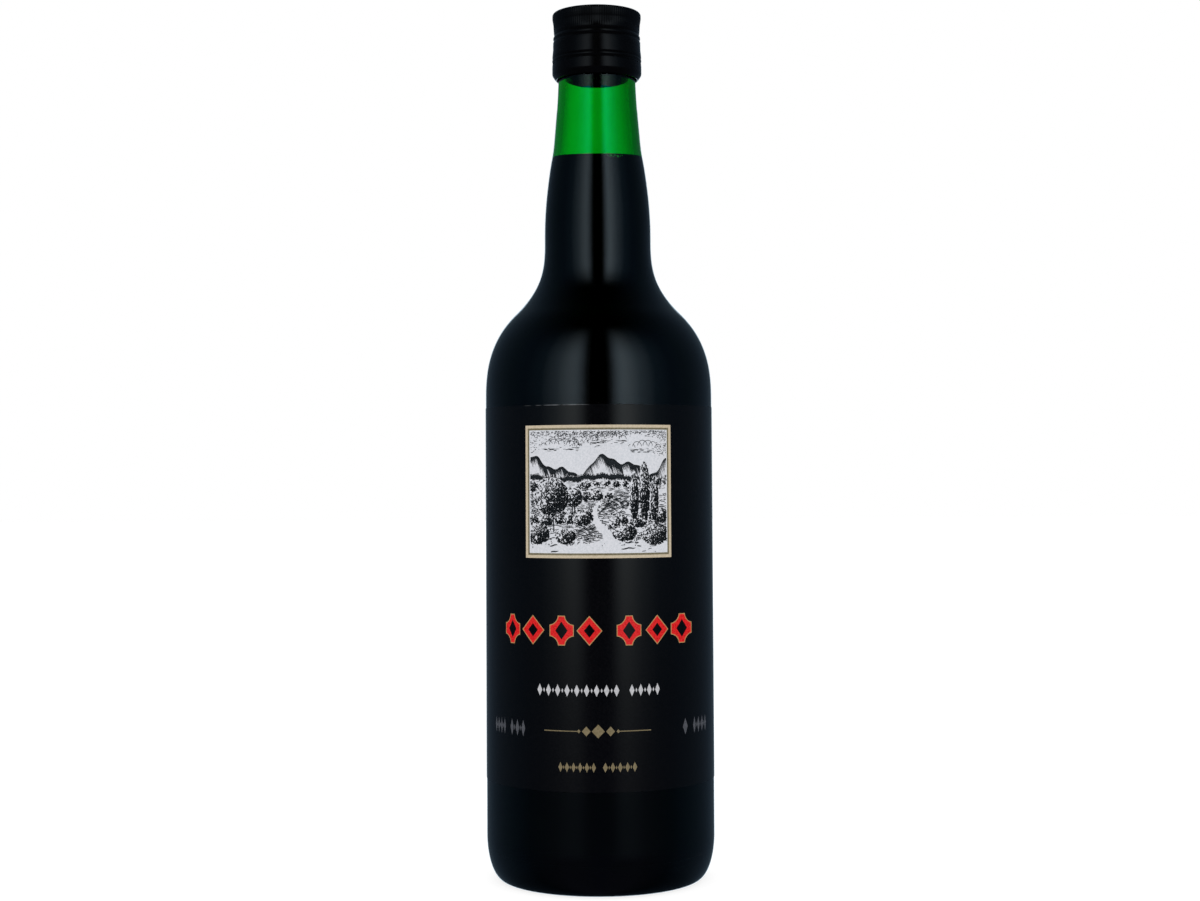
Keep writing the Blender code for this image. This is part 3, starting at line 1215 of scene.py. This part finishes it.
direction = tree.nodes.new("ShaderNodeTexCoord")
axes = tree.nodes.new("ShaderNodeSeparateXYZ")
fill(axes, {"Vector": direction.outputs["Generated"]})
towards = product(axes.outputs["Y"], -1.0)
sideways = calculated(tree, "ABSOLUTE", axes.outputs["X"])
azimuth = product(calculated(tree, "ARCTAN2", sideways, towards), 180 / math.pi)
elevation = calculated(tree, "ARCSINE", axes.outputs["Z"])

light_across = tones(azimuth, 0, 180, (
    (0, (0, 0, 0)), (8, (0, 0, 0)), (12, (0.08, 0.10, 0.12)), (18, (0.48, 0.62, 0.74)),
    (22.5, (0.75, 0.97, 1.12)), (26, (0.80, 1.03, 1.18)), (31, (0.72, 0.92, 1.06)),
    (43, (0.32, 0.45, 0.56)), (60, (0.06, 0.11, 0.16)), (80, (0.01, 0.02, 0.035)), (100, (0, 0, 0)),
))
dim_foot, full_foot = fade(elevation, -22, -8), fade(elevation, -10, 5)
light_foot = calculated(tree, "MULTIPLY_ADD", dim_foot, 0.05, full_foot)
light_up = product(light_foot, opposite(fade(elevation, 25, 68)))
on_right = calculated(tree, "GREATER_THAN", axes.outputs["X"], 0.0)
light_side = calculated(tree, "MULTIPLY_ADD", on_right, 0.2, 0.8)
rear_across = tones(azimuth, 0, 180, (
    (0, (0, 0, 0)), (165, (0, 0, 0)), (173, (0.7, 0.9, 1.05)), (180, (0.8, 1.0, 1.15)),
))
rear_up = product(fade(elevation, -60, -40), opposite(fade(elevation, 50, 80)))
lights = added(scaled(light_across, product(light_up, light_side)), scaled(rear_across, rear_up))

around = tones(azimuth, 0, 180, (
    (0, (0, 0, 0)), (45, (0, 0, 0)), (71, (0.013, 0.026, 0.043)), (86, (0.021, 0.043, 0.071)),
    (105, (0.034, 0.060, 0.089)), (125, (0.043, 0.069, 0.102)), (142, (0.049, 0.077, 0.112)),
    (160, (0.063, 0.090, 0.117)), (180, (0.077, 0.11, 0.143)),
))
not_low = calculated(tree, "MULTIPLY_ADD", fade(elevation, -45, -20), 0.45, 0.55)
surroundings = scaled(around, product(opposite(fade(elevation, 30, 85)), not_low))
floor_glow = tones(azimuth, 0, 180, (
    (0, (0.026, 0.033, 0.060)), (20, (0.033, 0.040, 0.062)), (40, (0.034, 0.041, 0.063)),
    (75, (0, 0, 0)),
))
glow_below = scaled(floor_glow, opposite(fade(elevation, -13, 1)))
reflected = added(added(lights, surroundings), glow_below)

# Light that goes through the glass sees the backdrop, and what is mirrored sees the lights.
path = tree.nodes.new("ShaderNodeLightPath")
through = path.outputs["Is Transmission Ray"]
mirrored = product(path.outputs["Is Glossy Ray"], opposite(through))
bounced = calculated(tree, "GREATER_THAN", path.outputs["Glossy Depth"], 0.5)
frontward = calculated(tree, "GREATER_THAN", towards, 0.0)
inside = product(product(through, bounced), frontward)
shows_lights = calculated(tree, "ADD", mirrored, inside, clamp=True)

backdrop = tones(axes.outputs["X"], -1, 1, [(x, (level, level, level)) for x, level in (
    (-1, 0.7), (-0.6, 0.75), (-0.45, 0.9), (-0.3, 1.15), (-0.19, 1.31), (-0.08, 1.36),
    (-0.033, 1.5), (-0.012, 1.0), (0, 0.92), (0.012, 1.0), (0.035, 1.5), (0.088, 1.21),
    (0.21, 0.80), (0.35, 0.62), (0.6, 0.5), (1, 0.6),
)])
plain = 1 / brightest
behind = mixed(tree, through, (plain, plain, plain, 1.0), backdrop)
either = tree.nodes.new("ShaderNodeMixShader")
fill(either, {"Fac": shows_lights})
for socket, colour in ((1, behind), (2, reflected)):
    background = tree.nodes.new("ShaderNodeBackground")
    fill(background, {"Color": colour, "Strength": brightest})
    fill(either, {socket: background.outputs["Background"]})
world_out = tree.nodes.new("ShaderNodeOutputWorld")
fill(world_out, {"Surface": either.outputs["Shader"]})

bpy.context.scene.view_settings.view_transform = "Standard"


# Camera: level with the label's top, looking slightly up, at the photograph's distance.
camera_distance = 671.8 * mm
camera_height = 136.0 * mm
camera_offset = 0.4 * mm
camera_tilt = 0.87
camera_roll = -0.305
camera_lens = 58.5
sensor_width = 36.0
bpy.ops.object.camera_add(
    location=(camera_offset, -camera_distance, camera_height),
    rotation=(math.radians(90 + camera_tilt), 0, 0),
)
camera = bpy.context.object
camera.name = "camera"
camera.data.lens = camera_lens
camera.data.sensor_width = sensor_width
camera.rotation_euler.rotate_axis("Z", math.radians(camera_roll))
camera.data.clip_start = 0.01
camera.data.clip_end = 50
bpy.context.scene.camera = camera
